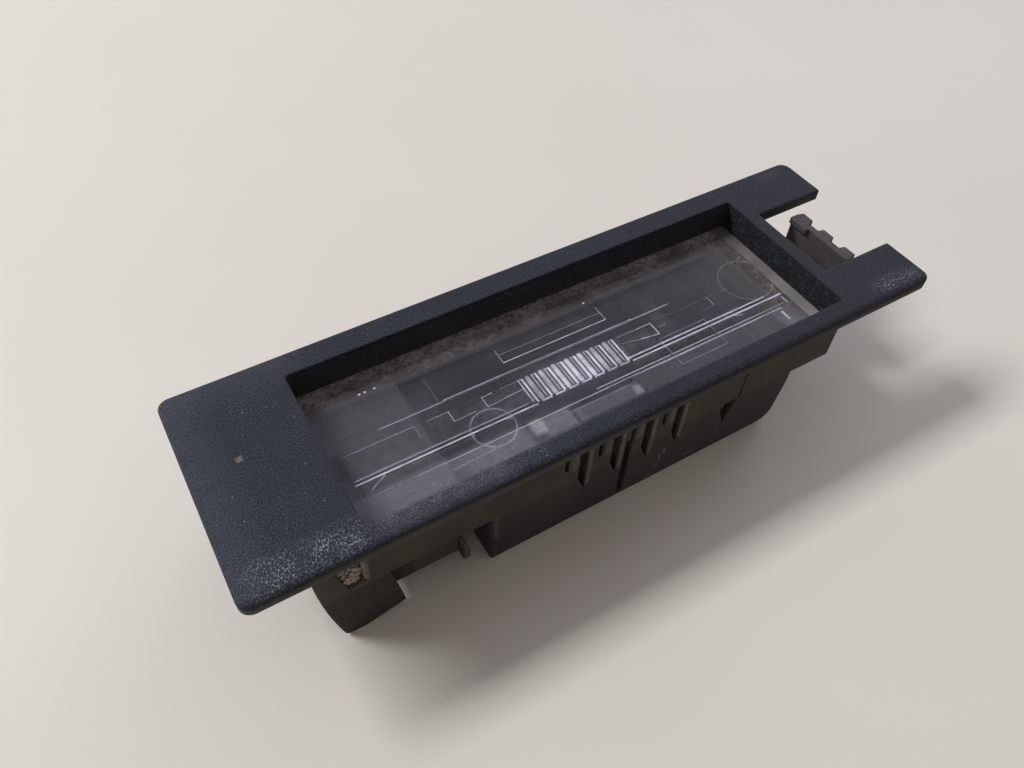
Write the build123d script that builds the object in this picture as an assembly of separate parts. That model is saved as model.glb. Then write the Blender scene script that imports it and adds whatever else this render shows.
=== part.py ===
from build123d import *
import os

# Number plate lamp that snaps into a panel, lying on its back with the lens up.
# X runs from the plain end to the notched end, Y from the near edge to the far edge,
# and Z out through the lens.
# The origin is the middle of the underside. All sizes are in millimetres.

# Bezel
bezel_length = 90.2
bezel_width = 27.5
bezel_thickness = 1.5
bezel_corner_radius = 1.4
bezel_edge_radius = 0.3
near_edge_radius = 0.9
cut_edge_radius = 0.25
plain_end = 13.4
near_rail = 2.5
far_rail = 3.3
notch_bar = 1.95
notch_depth = 11.1
near_prong = 7.6
far_prong = 7.4

# Recess behind the window, and the lens in it
recess_depth = 4.0
window_corner_radius = 0.5
lens_thickness = 1.6
lens_clearance = 0.15
ledge_width = 1.9
ledge_thickness = 1.3

# Optics on the back of the lens, placed from the lamp's bulb and from the bezel's near edge
fold_height = 0.5
fold_width = 0.9
fold_places = (8.5, 10.6)
fold_end_gap = 0.6
prism_count = 8
prism_pitch = 1.84
prism_width = 1.2
prism_lean = 0.3
prism_height = 0.4
prism_start = 10.9
prism_length = 3.6
frame_height = 0.35
frame_line = 0.5
tray_frame_length = 14.8
tray_frame_width = 2.5
tray_frame_start = 17.6
end_frame_length = 7.1
end_frame_width = 4.7
end_frame_start = 6.9
end_frame_offset = 15.05
ring_radius = 2.7
ring_offset = -12.9
ring_place = 9.9

# Skirt
side_overhang = 2.0
skirt_wall = 1.3
skirt_depth = 9.9
skirt_left_radius = 0.6
skirt_right_radius = 0.5
floor_thickness = 1.3
groove_offset = 18.0
groove_width = 0.4
groove_depth = 0.4

# Bulb, a festoon lamp lying along X
bulb_place = 45.0
bulb_length = 31.0
bulb_diameter = 10.5
bulb_gap = 0.9
glass_length = 16.0
glass_wall = 0.6
glass_shoulder = 0.9
cap_diameter = 8.5
cap_wall = 0.3
cap_cone = 3.0
cap_tip_diameter = 2.0
neck_length = 2.0
neck_clearance = 0.05
lead_diameter = 0.3
coil_diameter = 0.9
coil_length = 6.0

# Contact strips and their blade terminals
sheet = 0.5
strip_width = 5.0
tip_engagement = 0.9
hole_clearance = 0.1
plate_margin = 1.6
runner_width = 2.8
arm_length = 1.5
blade_width = 4.8
blade_length = 5.4
blade_tip = 0.8
blade_spacing = 10.2
slot_clearance = 0.1

# Rear cover
cover_wall = 1.3
cover_end_floor = 6.3
cover_end_lean = 1.1
cover_end_radius = 2.4
cover_side_lean = 0.1
cover_edge_radius = 0.3
cover_corner_radius = 0.6
lip_thickness = 1.0
lip_root = 1.6
lip_overlap = 0.4
seat_gap = 0.15
plate_relief = 1.3

# Cooling slots, split and catch notch
slot_pairs = 4
slot_pitch = 4.55
slot_offset = 1.1
short_slot_shift = 2.3
long_slot_width = 1.2
long_slot_end = 13.2
short_slot_width = 0.6
long_slot_point = 3.2
short_slot_end = 7.8
short_slot_point = 0.5
slot_groove = 0.9
slot_top = 3.0
split_width = 1.1
split_offset = 0.75
split_top = 7.2
split_bottom = 0.4
catch_offset = 16.45
catch_width = 2.9
catch_end = 14.6
catch_lug_width = 0.4
catch_lug_length = 1.2
catch_lug_offset = 0.7

# Hooks at the plain end
hook_reach = 5.35
hook_tip = 1.8
hook_thickness = 1.3
hook_length = 9.4
hook_heel_rise = 1.4
hook_bow = 0.55
hook_toe_setback = 2.0
hook_toe_length = 2.3
hook_toe_radius = 0.9
panel_gap = 1.7
relief_width = 1.8
relief_floor = 0.3

# Connector shroud between the hooks
shroud_offset = 1.4
shroud_length = 10.2
shroud_inset = 1.6
shroud_wall = 1.0
shroud_depth = 6.1
lock_bar_width = 1.1
lock_bar_height = 1.0
lock_bar_overhang = 1.4
lock_bar_radius = 0.4

# Latch in the notch
latch_thickness = 1.3
latch_reach = 6.4
latch_clearance = 1.1
latch_bend_radius = 2.0
latch_root_gap = 0.2
latch_top = 1.75
latch_lip = 0.65
barb_gap = 0.5
barb_reach = 1.5
barb_length = 2.6
tooth_count = 3
tooth_pitch = 3.95
tooth_tip_width = 1.8
tooth_root_width = 2.9
tooth_reach = 1.05
tooth_height = 1.25
finger_width = 3.1
finger_depth = 0.45
finger_height = 0.9

# Levels, measured behind the bezel's face
lens_back = recess_depth + lens_thickness
ledge_back = lens_back + ledge_thickness
floor_face = skirt_depth - floor_thickness
bulb_level = lens_back + bulb_gap + bulb_diameter / 2
lamp_depth = bulb_level + bulb_diameter / 2 + bulb_gap + cover_wall


def along(distance):
    """X at a distance from the bezel's plain end."""
    return distance - bezel_length / 2


def across(distance):
    """Y at a distance from the bezel's near edge."""
    return distance - bezel_width / 2


def level(distance):
    """Z at a distance behind the bezel's face."""
    return lamp_depth - distance


# Limits along X
window_x = (along(plain_end), along(bezel_length - notch_depth - notch_bar))
skirt_x = (window_x[0] - skirt_wall, window_x[1] + skirt_wall)
bulb_x = along(bulb_place)
plate_reach = bulb_length / 2 - tip_engagement
opening_x = (bulb_x - plate_reach - sheet - plate_relief, skirt_x[1] - cover_end_floor - cover_wall)
cover_x = (opening_x[0] - cover_wall, opening_x[1] + cover_wall)
shroud_x = (skirt_x[0] + shroud_offset, skirt_x[0] + shroud_offset + shroud_length)

# Limits across Y
skirt_y = (across(side_overhang), -across(side_overhang))
inside_y = (skirt_y[0] + skirt_wall, skirt_y[1] - skirt_wall)
shroud_y = (skirt_y[0] + shroud_inset, skirt_y[1] - shroud_inset)
latch_y = (across(near_prong + latch_clearance), across(bezel_width - far_prong - latch_clearance))

# Places of the cooling slots and the catch notch along X
long_slots = [bulb_x + slot_offset + (i - (slot_pairs - 1) / 2) * slot_pitch for i in range(slot_pairs)]
short_slots = [x - short_slot_shift for x in long_slots]
split_x = (bulb_x + split_offset - split_width / 2, bulb_x + split_offset + split_width / 2)
catch_x = bulb_x + catch_offset


def slab(x_span, y_span, z_span, corner=0):
    """Plate between three pairs of limits, with its upright edges rounded."""
    size = (x_span[1] - x_span[0], y_span[1] - y_span[0])
    outline = RectangleRounded(*size, corner) if corner else Rectangle(*size)
    place = Pos(sum(x_span) / 2, sum(y_span) / 2, min(z_span))
    return place * extrude(outline, abs(z_span[1] - z_span[0]))


def grown(span, amount):
    """A pair of limits moved apart by an amount on each side."""
    return (span[0] - amount, span[1] + amount)


def side_cut(outline, y_span):
    """Solid with an outline in X and Z, running between two limits in Y."""
    return extrude(Plane.XZ.offset(-y_span[1]) * outline, y_span[1] - y_span[0])


def end_cut(outline, x_span):
    """Solid with an outline in Y and Z, running between two limits in X."""
    return extrude(Plane.YZ.offset(x_span[0]) * outline, x_span[1] - x_span[0])


def bezel_plate():
    """Flat bezel with a rounded face edge, a window and a notch in its end."""
    half = (bezel_length / 2, bezel_width / 2)
    x_span = (-half[0], half[0])
    z_span = (level(bezel_thickness), level(0))
    plate = slab(x_span, (-half[1], half[1]), z_span, bezel_corner_radius)
    plate = fillet(plate.faces().sort_by(Axis.Z)[-1].edges(), bezel_edge_radius)
    corner = Rectangle(near_edge_radius, near_edge_radius, align=(Align.MIN, Align.MAX))
    roll = Pos(-half[1], level(0)) * corner
    roll -= Pos(-half[1] + near_edge_radius, level(near_edge_radius)) * Circle(near_edge_radius)
    plate -= end_cut(roll, x_span)
    notch_x = (along(bezel_length - notch_depth), half[0])
    notch_y = (across(near_prong), across(bezel_width - far_prong))
    plate -= slab(notch_x, notch_y, z_span)
    notch_edges = plate.edges().filter_by_position(Axis.Z, level(0), level(0))
    notch_edges = notch_edges.filter_by_position(Axis.Y, notch_y[0], notch_y[1])
    notch_edges = notch_edges.filter_by_position(Axis.X, notch_x[0], half[0])
    return fillet(notch_edges, cut_edge_radius)


def recess():
    """Space between the bezel's face and the lens seat, narrowing from the window to the skirt's walls."""
    window_y = (across(near_rail), across(bezel_width - far_rail))
    mouth = Pos(sum(window_x) / 2, sum(window_y) / 2, level(0)) * RectangleRounded(
        window_x[1] - window_x[0], window_y[1] - window_y[0], window_corner_radius)
    seat = Pos(sum(window_x) / 2, 0, level(recess_depth)) * RectangleRounded(
        window_x[1] - window_x[0], inside_y[1] - inside_y[0], window_corner_radius)
    pocket = slab(window_x, inside_y, (level(lens_back), level(recess_depth)), window_corner_radius)
    return loft([seat, mouth]) + pocket


def slot_outline(x, width, top, bottom, point):
    """Upright slot whose lower end slants to a point."""
    left = x - width / 2
    right = x + width / 2
    corners = [(left, top), (right, top), (right, bottom), (left, bottom + point)]
    return make_face(Polyline(*corners, close=True))


def long_slot(x, top):
    """Outline of a long slot from a level down into the cover."""
    return slot_outline(x, long_slot_width, top, level(long_slot_end), long_slot_point)


def short_slot(x, top):
    """Outline of a short slot, which ends in the skirt."""
    return slot_outline(x, short_slot_width, top, level(short_slot_end), short_slot_point)


def catch_outline():
    """Pointed notch in the cover's wall that takes the housing's catch lug."""
    top = level(skirt_depth)
    left = catch_x - catch_width / 2
    right = catch_x + catch_width / 2
    return make_face(Polyline((left, top), (right, top), (catch_x, level(catch_end)), close=True))


def wall_spans(depth):
    """Limits in Y of a cut into the near and far faces of the skirt."""
    return (skirt_y[0], skirt_y[0] + depth), (skirt_y[1] - depth, skirt_y[1])


def skirt_slots(depth, top):
    """Slots in both long walls of the skirt, cut to a depth from a level downwards."""
    outlines = [long_slot(x, top) for x in long_slots] + [short_slot(x, top) for x in short_slots]
    cuts = []
    for y_span in wall_spans(depth):
        cuts += [side_cut(outline, y_span) for outline in outlines]
        cuts.append(slab(split_x, y_span, (level(skirt_depth), level(split_top))))
    return cuts


def skirt():
    """Walls behind the bezel with the lens ledge, the two end floors and the slots over the bulb."""
    walls = slab(skirt_x, skirt_y, (level(skirt_depth), level(bezel_thickness / 2)))
    corners = walls.edges().filter_by(Axis.Z).group_by(Axis.X)
    walls = fillet(corners[0], skirt_left_radius)
    walls = fillet(walls.edges().filter_by(Axis.Z).group_by(Axis.X)[-1], skirt_right_radius)
    groove_x = (bulb_x + groove_offset - groove_width / 2, bulb_x + groove_offset + groove_width / 2)
    for y_span in wall_spans(groove_depth):
        walls -= slab(groove_x, y_span, (level(skirt_depth), level(bezel_thickness)))
    chamber = slab(window_x, inside_y, (level(floor_face), level(ledge_back)), window_corner_radius)
    ledge_z = (level(ledge_back), level(lens_back))
    ledge_hole = slab(grown(window_x, -ledge_width), grown(inside_y, -ledge_width), ledge_z)
    opening = slab(opening_x, inside_y, (level(skirt_depth), level(floor_face)))
    return walls - chamber - ledge_hole - opening


def catch_lugs():
    """Small lugs under the skirt that drop into the cover's catch notches."""
    x = catch_x - catch_lug_offset
    x_span = (x - catch_lug_width / 2, x + catch_lug_width / 2)
    z_span = (level(skirt_depth + catch_lug_length), level(skirt_depth))
    inset = cover_side_lean + seat_gap
    near = slab(x_span, (skirt_y[0] + inset, inside_y[0]), z_span)
    far = slab(x_span, (inside_y[1], skirt_y[1] - inset), z_span)
    return near + far


def hook(y_span):
    """Fixed hook: a bowed foot below the skirt whose tip rises to the panel gap under the bezel."""
    outer = skirt_x[0] - hook_reach
    tip_z = level(bezel_thickness + panel_gap)
    skirt_z = level(skirt_depth)
    root = (skirt_x[0] + skirt_wall, skirt_z + floor_thickness)
    heel = (outer + hook_length, hook_heel_rise)
    toe = (outer + hook_toe_setback, 0)
    relief_z = skirt_z + relief_floor
    relief = [(skirt_x[0] - relief_width, relief_z), (skirt_x[0], relief_z)]
    edges = Curve() + [
        Polyline(root, (heel[0] - skirt_wall, skirt_z), heel, (toe[0] + hook_toe_length, 0), toe),
        ThreePointArc(toe, (outer + hook_bow, tip_z / 2), (outer, tip_z)),
        Polyline((outer, tip_z), (outer + hook_tip, tip_z), *relief, root),
    ]
    foot = side_cut(make_face(edges), y_span)
    toe_edge = foot.edges().filter_by(Axis.Y).group_by(Axis.Z)[0].sort_by(Axis.X)[0]
    return fillet(toe_edge, hook_toe_radius)


def hooks():
    """The near and far hooks."""
    near = hook((skirt_y[0], skirt_y[0] + hook_thickness))
    far = hook((skirt_y[1] - hook_thickness, skirt_y[1]))
    return near + far


def shroud():
    """Connector shroud under the end floor, with a bar along its inner edge for the plug to lock behind."""
    z_span = (level(skirt_depth + shroud_depth), level(skirt_depth))
    box = slab(shroud_x, shroud_y, z_span)
    box -= slab(grown(shroud_x, -shroud_wall), grown(shroud_y, -shroud_wall), z_span)
    bar_x = (shroud_x[1], shroud_x[1] + lock_bar_width)
    bar_z = (z_span[0], z_span[0] + lock_bar_height)
    return box + slab(bar_x, grown(shroud_y, lock_bar_overhang), bar_z, lock_bar_radius)


def latch():
    """Spring latch: a strip bent up from the skirt's end, with a barb and a toothed head."""
    root = (skirt_x[1] - skirt_wall / 2, level(skirt_depth - latch_root_gap))
    face = skirt_x[1] + latch_reach
    back = face + latch_thickness
    top = level(latch_top)
    neck = top - tooth_height
    barb = neck - barb_gap
    inner = latch_bend_radius
    outer = inner + latch_thickness
    bend = (face - inner, root[1] + outer)
    edges = Curve() + [
        Line(root, (bend[0], root[1])),
        RadiusArc((bend[0], root[1]), (back, bend[1]), -outer),
        Polyline((back, bend[1]), (back, barb - barb_length), (back + barb_reach, barb), (back, barb)),
        Polyline((back, barb), (back, neck), (face + latch_lip, neck), (face + latch_lip, top)),
        Polyline((face + latch_lip, top), (face, top), (face, bend[1])),
        RadiusArc((face, bend[1]), (bend[0], bend[1] - inner), inner),
        Polyline((bend[0], bend[1] - inner), (root[0], bend[1] - inner), root),
    ]
    tongue = side_cut(make_face(edges), latch_y)
    finger_y = (latch_y[1] - finger_width, latch_y[1])
    tongue += slab((face - finger_depth, face + latch_lip), finger_y, (top - finger_height, top))
    tip_x = face + latch_lip + tooth_reach
    for i in range(tooth_count):
        y = sum(latch_y) / 2 + (i - (tooth_count - 1) / 2) * tooth_pitch
        corners = [(face, y - tooth_root_width / 2), (tip_x, y - tooth_tip_width / 2),
                   (tip_x, y + tooth_tip_width / 2), (face, y + tooth_root_width / 2)]
        tooth = Pos(0, 0, neck) * extrude(make_face(Polyline(*corners, close=True)), tooth_height)
        tongue += tooth & slab((face, tip_x), latch_y, (neck, top))
    return tongue


def blade_place(side):
    """Limits of a blade terminal in X and Y, on the near (-1) or far (1) side."""
    x = sum(shroud_x) / 2
    y = side * blade_spacing / 2
    return (x - blade_width / 2, x + blade_width / 2), (y - sheet / 2, y + sheet / 2)


def housing():
    """The lamp's one-piece black moulding."""
    body = bezel_plate() + skirt() + hooks() + shroud() + latch() + catch_lugs()
    body -= recess()
    for cut in skirt_slots(slot_groove, level(slot_top)) + skirt_slots(skirt_wall, level(ledge_back)):
        body -= cut
    for side in (-1, 1):
        x_span, y_span = blade_place(side)
        slot_z = (level(skirt_depth), level(floor_face))
        body -= slab(grown(x_span, slot_clearance), grown(y_span, slot_clearance), slot_z)
    return body


def outline_frame(x_span, y_span):
    """Raised rectangular line on the back of the lens."""
    z_span = (level(lens_back + frame_height), level(lens_back))
    hole = slab(grown(x_span, -frame_line), grown(y_span, -frame_line), z_span)
    return slab(x_span, y_span, z_span) - hole


def lens_optics():
    """Folds, prism bars, frames and a ring on the back of the lens."""
    back = level(lens_back)
    clear_x = grown(window_x, -ledge_width - fold_end_gap)
    pieces = []
    for place in fold_places:
        y = across(place)
        ridge = [(y - fold_width / 2, back), (y + fold_width / 2, back), (y, back - fold_height)]
        pieces.append(end_cut(make_face(Polyline(*ridge, close=True)), clear_x))
    prism_y = (across(prism_start), across(prism_start + prism_length))
    for i in range(prism_count):
        x = bulb_x + (i - (prism_count - 1) / 2) * prism_pitch
        half = prism_width / 2
        bar = [(x - half, back), (x + half, back), (x + prism_lean, back - prism_height)]
        pieces.append(side_cut(make_face(Polyline(*bar, close=True)), prism_y))
    tray_x = (bulb_x - tray_frame_length / 2, bulb_x + tray_frame_length / 2)
    tray_y = (across(tray_frame_start), across(tray_frame_start + tray_frame_width))
    pieces.append(outline_frame(tray_x, tray_y))
    end_middle = bulb_x + end_frame_offset
    end_x = (end_middle - end_frame_length / 2, end_middle + end_frame_length / 2)
    end_y = (across(end_frame_start), across(end_frame_start + end_frame_width))
    pieces.append(outline_frame(end_x, end_y))
    ring = Circle(ring_radius) - Circle(ring_radius - frame_line)
    ring_middle = Pos(bulb_x + ring_offset, across(ring_place), back - frame_height)
    pieces.append(ring_middle * extrude(ring, frame_height))
    return pieces


def lens():
    """Clear lens plate that drops onto the ledge, with its optics behind."""
    x_span = grown(window_x, -lens_clearance)
    y_span = grown(inside_y, -lens_clearance)
    plate = slab(x_span, y_span, (level(lens_back), level(recess_depth)), window_corner_radius)
    for piece in lens_optics():
        plate += piece
    return plate


def cover_shell():
    """Box behind the bulb, leaning in at its sides and at its rounded end."""
    top = level(skirt_depth)
    side = [(cover_x[0], top), (cover_x[0], 0), (cover_x[1] - cover_end_lean, 0), (cover_x[1], top)]
    foot_y = grown(skirt_y, -cover_side_lean)
    end = [(skirt_y[0], top), (foot_y[0], 0), (foot_y[1], 0), (skirt_y[1], top)]
    long_way = side_cut(make_face(Polyline(*side, close=True)), skirt_y)
    round_edge = long_way.edges().filter_by(Axis.Y).group_by(Axis.Z)[0].sort_by(Axis.X)[-1]
    long_way = fillet(round_edge, cover_end_radius)
    block = long_way & end_cut(make_face(Polyline(*end, close=True)), cover_x)
    block &= slab(cover_x, skirt_y, (0, top), cover_corner_radius)
    side_edges = block.edges().filter_by(GeomType.LINE).group_by(Axis.Z)[0].filter_by(Axis.X)
    block = fillet(side_edges, cover_edge_radius)
    return offset(block, -cover_wall, openings=block.faces().sort_by(Axis.Z)[-1])


def rear_cover():
    """Rear cover with a lip that enters the housing, cooling slots, a split and catch notches."""
    lip_x = grown(opening_x, -seat_gap)
    lip_y = grown(inside_y, -seat_gap)
    lip_top = level(floor_face + seat_gap)
    lip_z = (level(skirt_depth + lip_root), lip_top)
    root_z = (level(skirt_depth + lip_root), level(skirt_depth))
    lip = slab(lip_x, lip_y, lip_z)
    lip += slab(grown(opening_x, lip_overlap), grown(inside_y, lip_overlap), root_z)
    lip -= slab((cover_x[0], lip_x[1] - lip_thickness), grown(lip_y, -lip_thickness), lip_z)
    cover = cover_shell() + lip
    for x in long_slots:
        cover -= side_cut(long_slot(x, lip_top), skirt_y)
    split_y = (skirt_y[0], lip_y[0] + lip_thickness)
    cover -= slab(split_x, split_y, (split_bottom, lip_top))
    return cover - side_cut(catch_outline(), skirt_y)


def turned(points):
    """Solid of revolution about the bulb's axis, from distances along it and from it."""
    profile = make_face(Plane.XZ * Polyline(*points, close=True))
    return Pos(bulb_x, 0, level(bulb_level)) * revolve(profile, Axis.X)


def mirrored(points):
    """The other half of a profile that is the same at both ends of the bulb."""
    return [(-x, r) for x, r in reversed(points)]


def bulb_glass():
    """Glass tube with sloped shoulders and a sealed neck at each end."""
    half = glass_length / 2
    radius = bulb_diameter / 2
    neck = cap_diameter / 2 - cap_wall - neck_clearance
    end = half + neck_length
    slope = [(-half, radius - glass_shoulder), (-half + glass_shoulder, radius)]
    left = [(-end, 0), (-end, neck), (-half, neck), *slope]
    tube = turned(left + mirrored(left))
    hollow = half - glass_wall
    bore = [(-hollow, 0), (-hollow, neck), (-hollow + glass_wall, radius - glass_wall)]
    return tube - turned(bore + mirrored(bore))


def bulb_cap(side):
    """Pressed metal end cap with a conical tip, at the left (-1) or right (1) end of the bulb."""
    start = glass_length / 2
    end = bulb_length / 2
    cone = end - cap_cone
    outer = cap_diameter / 2
    inner = outer - cap_wall
    tip = cap_tip_diameter / 2
    points = [(start, inner), (start, outer), (cone, outer), (end, tip), (end, 0), (end - cap_wall, 0),
              (end - cap_wall, tip - cap_wall / 2), (cone - cap_wall / 2, inner)]
    return turned([(side * x, r) for x, r in points])


def bulb_filament():
    """Coiled filament on its two lead wires, between the ends of the glass."""
    half = glass_length / 2 - glass_wall
    coil = coil_length / 2
    lead = lead_diameter / 2
    wide = coil_diameter / 2
    left = [(-half, 0), (-half, lead), (-coil, lead), (-coil, wide)]
    return turned(left + mirrored(left))


def blade(side):
    """Blade terminal folded down from its strip through the end floor."""
    x_span, y_span = blade_place(side)
    top = level(floor_face)
    bottom = level(floor_face) - floor_thickness - blade_length
    corners = [(x_span[0], top), (x_span[0], bottom + blade_tip), (x_span[0] + blade_tip, bottom),
               (x_span[1] - blade_tip, bottom), (x_span[1], bottom + blade_tip), (x_span[1], top)]
    return side_cut(make_face(Polyline(*corners, close=True)), y_span)


def contact_plate(side):
    """Upright plate with a hole for the bulb's tip, below the strip's level."""
    outer = plate_reach + sheet
    x_span = sorted((bulb_x + side * plate_reach, bulb_x + side * outer))
    slope = (cap_diameter - cap_tip_diameter) / 2 / cap_cone
    hole = cap_tip_diameter / 2 + tip_engagement * slope + hole_clearance
    z_span = (level(bulb_level + hole + plate_margin), level(floor_face) + sheet)
    plate = slab(x_span, (-strip_width / 2, strip_width / 2), z_span)
    drill = Pos(x_span[0], 0, level(bulb_level)) * Rot(0, 90, 0) * extrude(Circle(hole), sheet)
    return plate - drill


def contact_left():
    """Strip on the end floor from the near blade to the bulb's left tip."""
    z_span = (level(floor_face), level(floor_face) + sheet)
    blade_x, blade_y = blade_place(-1)
    plate_x = bulb_x - plate_reach
    strip = slab((blade_x[0], plate_x), (-strip_width / 2, strip_width / 2), z_span)
    tab = slab(blade_x, (blade_y[0], 0), z_span)
    return strip + tab + blade(-1) + contact_plate(-1)


def contact_right():
    """Strip from the far blade along the far wall and across to the bulb's right tip."""
    z_span = (level(floor_face), level(floor_face) + sheet)
    blade_x, blade_y = blade_place(1)
    wall_y = inside_y[1] - seat_gap
    plate_x = bulb_x + plate_reach
    tab = slab(blade_x, (blade_y[0], wall_y), z_span)
    runner = slab((blade_x[0], plate_x + sheet + arm_length), (wall_y - runner_width, wall_y), z_span)
    arm = slab((plate_x, plate_x + sheet + arm_length), (-strip_width / 2, wall_y), z_span)
    return tab + runner + arm + blade(1) + contact_plate(1)


nodes = {
    "housing": housing(),
    "lens": lens(),
    "rear_cover": rear_cover(),
    "bulb_glass": bulb_glass(),
    "bulb_cap_left": bulb_cap(-1),
    "bulb_cap_right": bulb_cap(1),
    "bulb_filament": bulb_filament(),
    "contact_left": contact_left(),
    "contact_right": contact_right(),
}

os.makedirs("parts", exist_ok=True)
for name, solid in nodes.items():
    export_step(solid, f"parts/{name}.step")
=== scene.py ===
import logging
from dataclasses import dataclass
from enum import Enum
from typing import Any

import bpy
import numpy as np
from mathutils import Matrix, Vector


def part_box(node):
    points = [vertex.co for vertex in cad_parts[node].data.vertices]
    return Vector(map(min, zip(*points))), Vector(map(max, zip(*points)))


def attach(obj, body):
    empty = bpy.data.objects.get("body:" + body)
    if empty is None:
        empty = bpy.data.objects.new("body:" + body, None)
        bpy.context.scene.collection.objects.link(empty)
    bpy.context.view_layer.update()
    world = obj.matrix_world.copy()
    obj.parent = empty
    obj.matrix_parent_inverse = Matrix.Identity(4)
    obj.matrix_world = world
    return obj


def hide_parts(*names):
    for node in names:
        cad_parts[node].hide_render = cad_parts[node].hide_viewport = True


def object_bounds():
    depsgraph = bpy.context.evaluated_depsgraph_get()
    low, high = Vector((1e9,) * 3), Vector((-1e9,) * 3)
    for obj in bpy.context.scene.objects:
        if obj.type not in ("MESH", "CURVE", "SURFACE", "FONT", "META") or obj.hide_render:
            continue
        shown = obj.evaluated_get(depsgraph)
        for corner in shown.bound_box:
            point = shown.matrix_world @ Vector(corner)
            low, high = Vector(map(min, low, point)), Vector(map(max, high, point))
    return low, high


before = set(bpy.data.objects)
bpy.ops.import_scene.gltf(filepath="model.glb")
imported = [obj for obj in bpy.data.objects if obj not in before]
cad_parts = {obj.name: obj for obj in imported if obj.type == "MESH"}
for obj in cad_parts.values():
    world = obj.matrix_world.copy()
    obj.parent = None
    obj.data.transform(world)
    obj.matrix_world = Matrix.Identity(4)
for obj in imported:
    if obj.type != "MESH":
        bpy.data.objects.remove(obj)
cad_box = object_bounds()

log = logging.getLogger("number_plate_lamp")

MM = 0.001
ROOT = "root"

# A drawn line ends at the first share of its width from its middle line, and softens over the second.
STROKE_REACH = 0.6
STROKE_SOFT = 0.35
# A scattered grain is solid up to this share of its radius.
GRAIN_CORE = 0.4

Pair = tuple[float, float]
Triple = tuple[float, float, float]


class Slot(Enum):
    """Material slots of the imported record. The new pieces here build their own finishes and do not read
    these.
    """

    PLASTIC = "black_plastic"
    LENS = "clear_plastic"
    WIRE = "filament_wire"


def linear(code: str) -> tuple[float, float, float, float]:
    """Turns an sRGB hex colour into linear light.

    Args:
        code: Six hex digits.

    Returns:
        Red, green and blue in linear light, and a full alpha.
    """
    levels = np.array([int(code[i:i + 2], 16) for i in (0, 2, 4)]) / 255
    light = np.where(levels <= 0.04045, levels / 12.92, ((levels + 0.055) / 1.055) ** 2.4)
    return (*light.tolist(), 1.0)


@dataclass(frozen=True)
class Datum:
    """Turns places measured on the bezel into the lamp's own frame.

    Distances are in millimetres: along the bezel from its plain end, across it from its near edge and behind
    its face. Each is one number or an array.
    """

    low: Triple
    high: Triple

    def along(self, distance: Any) -> Any:
        """X in metres at a distance from the plain end."""
        return self.low[0] + distance * MM

    def across(self, distance: Any) -> Any:
        """Y in metres at a distance from the near edge."""
        return self.low[1] + distance * MM

    def behind(self, distance: Any) -> Any:
        """Z in metres at a distance behind the bezel's face."""
        return self.high[2] - distance * MM

    def point(self, along: float, across: float, behind: float) -> Triple:
        """A place as X, Y and Z in metres."""
        return self.along(along), self.across(across), self.behind(behind)

    def flat(self, along: float, across: float) -> Triple:
        """A place as X and Y in metres, with its height left at 0."""
        return self.along(along), self.across(across), 0.0


class Graph:
    """Node tree of a material or a world, cleared at the start."""

    def __init__(self, owner: bpy.types.Material | bpy.types.World) -> None:
        """Takes over the owner's tree.

        Args:
            owner: Material or world that the tree belongs to.
        """
        owner.use_nodes = True
        self.tree = owner.node_tree
        self.tree.nodes.clear()

    def add(self, kind: str, inputs: tuple | dict[str, Any] = (), **settings: Any) -> bpy.types.Node:
        """Adds a node with its settings, and links or fills its inputs.

        An input takes a socket, a node (its first output in use) or a plain value.

        Args:
            kind: Node type, without the words that every type here begins with.
            inputs: What the inputs in use take, in their order or by their names.
            **settings: Attributes of the node.

        Returns:
            The new node.
        """
        node = self.tree.nodes.new("ShaderNode" + kind)
        for name, value in settings.items():
            setattr(node, name, value)
        if isinstance(inputs, dict):
            pairs = [(node.inputs[name], source) for name, source in inputs.items()]
        else:
            pairs = list(zip([socket for socket in node.inputs if socket.enabled], inputs))
        for socket, source in pairs:
            if isinstance(source, bpy.types.Node):
                source = next(output for output in source.outputs if output.enabled)
            if isinstance(source, bpy.types.NodeSocket):
                self.tree.links.new(source, socket)
            else:
                socket.default_value = source
        return node


def zone(graph: Graph, place: Any, middle: Triple, half: Triple, soft: float, level: float) -> bpy.types.Node:
    """Mask that holds a level inside a box and falls to 0 over a soft border.

    The distance outside the box is the length of max(|place - middle| - half, 0).

    Args:
        graph: The material's tree.
        place: Position, in metres.
        middle: Middle of the box, in metres.
        half: Half sizes of the box, in metres.
        soft: Width of the border, in metres.
        level: Level inside the box.

    Returns:
        Node whose first output is the mask.
    """
    offset = graph.add("VectorMath", (place, middle), operation="SUBTRACT")
    size = graph.add("VectorMath", (offset,), operation="ABSOLUTE")
    past = graph.add("VectorMath", (size, half), operation="SUBTRACT")
    outside = graph.add("VectorMath", (past, (0, 0, 0)), operation="MAXIMUM")
    length = graph.add("VectorMath", (outside,), operation="LENGTH")
    return graph.add("MapRange", (length, 0.0, soft, level, 0.0))


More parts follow.
